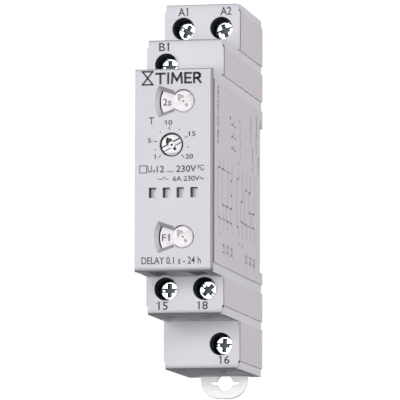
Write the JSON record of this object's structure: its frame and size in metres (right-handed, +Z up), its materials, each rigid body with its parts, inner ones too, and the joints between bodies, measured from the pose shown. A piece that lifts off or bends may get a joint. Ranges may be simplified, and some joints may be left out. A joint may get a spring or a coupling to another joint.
{
  "type": "DIN rail timer relay",
  "caption": "Narrow stepped DIN rail timer with rotary range, function and time selectors, indicator windows, screw clamp terminals and a sprung rail latch.",
  "frame": {"origin": "centre of the flat face that rests on the rail, midway between the sides", "axes": "+Z up along the height of the mounted device, -Y out of its front, +X to the right as seen from the front"},
  "size_m": [0.0176, 0.06, 0.0887],
  "materials": {
    "case_grey": "fine-grained light grey moulding",
    "dial_white": "off-white moulding",
    "latch_white": "translucent white nylon",
    "light_pipe": "milky clear",
    "dark_plastic": "black moulding",
    "blue_plastic": "blue coating",
    "relay_cover": "smoky clear cover",
    "board": "green solder mask on glass laminate",
    "led_green": "tinted lens",
    "led_red": "tinted lens",
    "resistor": "lacquer",
    "zinc": "bright zinc plating",
    "copper": "tinned copper",
    "coil": "enamelled copper wire",
    "brass": "contact brass",
    "iron": "soft iron"
  },
  "bodies": {
    "root": {"board_header": "dark_plastic", "choke": "dark_plastic", "contact_bar_15": "copper", "contact_bar_16": "copper", "contact_bar_18": "copper", "contact_bar_a1": "copper", "contact_bar_a2": "copper", "contact_bar_b1": "copper", "control_board": "board", "film_capacitor": "blue_plastic", "front_cover": "case_grey", "function_switch": "dark_plastic", "fuse_resistor": "resistor", "housing_body": "case_grey", "latch_spring": "zinc", "light_guide": "light_pipe", "main_board": "board", "microcontroller": "dark_plastic", "rectifier": "dark_plastic", "relay_base": "dark_plastic", "relay_coil": "coil", "relay_cover": "relay_cover", "relay_led": "led_red", "relay_yoke": "iron", "rest_contact": "brass", "scale_switch": "dark_plastic", "screw_guide_15": "dark_plastic", "screw_guide_16": "dark_plastic", "screw_guide_18": "dark_plastic", "screw_guide_a1": "dark_plastic", "screw_guide_a2": "dark_plastic", "screw_guide_b1": "dark_plastic", "side_cover": "case_grey", "smoothing_capacitor": "dark_plastic", "supply_led": "led_green", "time_potentiometer": "blue_plastic", "varistor": "blue_plastic", "work_contact": "brass"},
    "scale_dial": {"scale_dial": "dial_white"},
    "function_dial": {"function_dial": "dial_white"},
    "time_knob": {"time_knob": "dial_white"},
    "latch": {"rail_latch": "latch_white"},
    "armature": {"relay_armature": "iron", "moving_contact": "brass"},
    "screw_a1": {"terminal_screw_a1": "zinc"},
    "cage_a1": {"terminal_cage_a1": "zinc"},
    "screw_a2": {"terminal_screw_a2": "zinc"},
    "cage_a2": {"terminal_cage_a2": "zinc"},
    "screw_b1": {"terminal_screw_b1": "zinc"},
    "cage_b1": {"terminal_cage_b1": "zinc"},
    "screw_15": {"terminal_screw_15": "zinc"},
    "cage_15": {"terminal_cage_15": "zinc"},
    "screw_18": {"terminal_screw_18": "zinc"},
    "cage_18": {"terminal_cage_18": "zinc"},
    "screw_16": {"terminal_screw_16": "zinc"},
    "cage_16": {"terminal_cage_16": "zinc"}
  },
  "joints": [
    {"name": "scale_dial_turn", "type": "hinge", "parent": "root", "child": "scale_dial", "pos_m": [0.00215, -0.0554, 0.0152], "axis": [0, 1, 0], "range_deg": [0, 300]},
    {"name": "function_dial_turn", "type": "hinge", "parent": "root", "child": "function_dial", "pos_m": [0.00205, -0.0554, -0.0149], "axis": [0, 1, 0], "range_deg": [0, 300]},
    {"name": "time_knob_turn", "type": "hinge", "parent": "root", "child": "time_knob", "pos_m": [-0.00046, -0.0554, 0.00554], "axis": [0, 1, 0], "range_deg": [-95, 175]},
    {"name": "latch_slide", "type": "slide", "parent": "root", "child": "latch", "axis": [0, 0, -1], "range_m": [0, 0.0035], "stiffness_N_per_m": 1200, "springref_m": -0.0005, "deforming": ["latch_spring"]},
    {"name": "armature_swing", "type": "hinge", "parent": "root", "child": "armature", "pos_m": [0.0008, -0.0308, 0.0032], "axis": [1, 0, 0], "range_deg": [0, 4.5], "stiffness_Nm_per_rad": 0.02, "springref_deg": -2.86},
    {"name": "screw_a1_turn", "type": "hinge", "parent": "root", "child": "screw_a1", "pos_m": [-0.0044, -0.0204, 0.03615], "axis": [0, 1, 0], "range_deg": [0, 2160]},
    {"name": "cage_a1_rise", "type": "slide", "parent": "root", "child": "cage_a1", "axis": [0, -1, 0], "range_m": [0, 0.003]},
    {"name": "screw_a2_turn", "type": "hinge", "parent": "root", "child": "screw_a2", "pos_m": [0.0044, -0.0204, 0.03615], "axis": [0, 1, 0], "range_deg": [0, 2160]},
    {"name": "cage_a2_rise", "type": "slide", "parent": "root", "child": "cage_a2", "axis": [0, -1, 0], "range_m": [0, 0.003]},
    {"name": "screw_b1_turn", "type": "hinge", "parent": "root", "child": "screw_b1", "pos_m": [-0.0044, -0.0394, 0.0252], "axis": [0, 1, 0], "range_deg": [0, 2160]},
    {"name": "cage_b1_rise", "type": "slide", "parent": "root", "child": "cage_b1", "axis": [0, -1, 0], "range_m": [0, 0.003]},
    {"name": "screw_15_turn", "type": "hinge", "parent": "root", "child": "screw_15", "pos_m": [-0.0044, -0.0394, -0.0252], "axis": [0, 1, 0], "range_deg": [0, 2160]},
    {"name": "cage_15_rise", "type": "slide", "parent": "root", "child": "cage_15", "axis": [0, -1, 0], "range_m": [0, 0.003]},
    {"name": "screw_18_turn", "type": "hinge", "parent": "root", "child": "screw_18", "pos_m": [0.0044, -0.0394, -0.0252], "axis": [0, 1, 0], "range_deg": [0, 2160]},
    {"name": "cage_18_rise", "type": "slide", "parent": "root", "child": "cage_18", "axis": [0, -1, 0], "range_m": [0, 0.003]},
    {"name": "screw_16_turn", "type": "hinge", "parent": "root", "child": "screw_16", "pos_m": [0.0044, -0.0204, -0.03615], "axis": [0, 1, 0], "range_deg": [0, 2160]},
    {"name": "cage_16_rise", "type": "slide", "parent": "root", "child": "cage_16", "axis": [0, -1, 0], "range_m": [0, 0.003]}
  ],
  "couplings": [
    {"joint": "screw_a1_turn", "follows": "cage_a1_rise", "rad_per_m": 12566},
    {"joint": "screw_a2_turn", "follows": "cage_a2_rise", "rad_per_m": 12566},
    {"joint": "screw_b1_turn", "follows": "cage_b1_rise", "rad_per_m": 12566},
    {"joint": "screw_15_turn", "follows": "cage_15_rise", "rad_per_m": 12566},
    {"joint": "screw_18_turn", "follows": "cage_18_rise", "rad_per_m": 12566},
    {"joint": "screw_16_turn", "follows": "cage_16_rise", "rad_per_m": 12566}
  ]
}
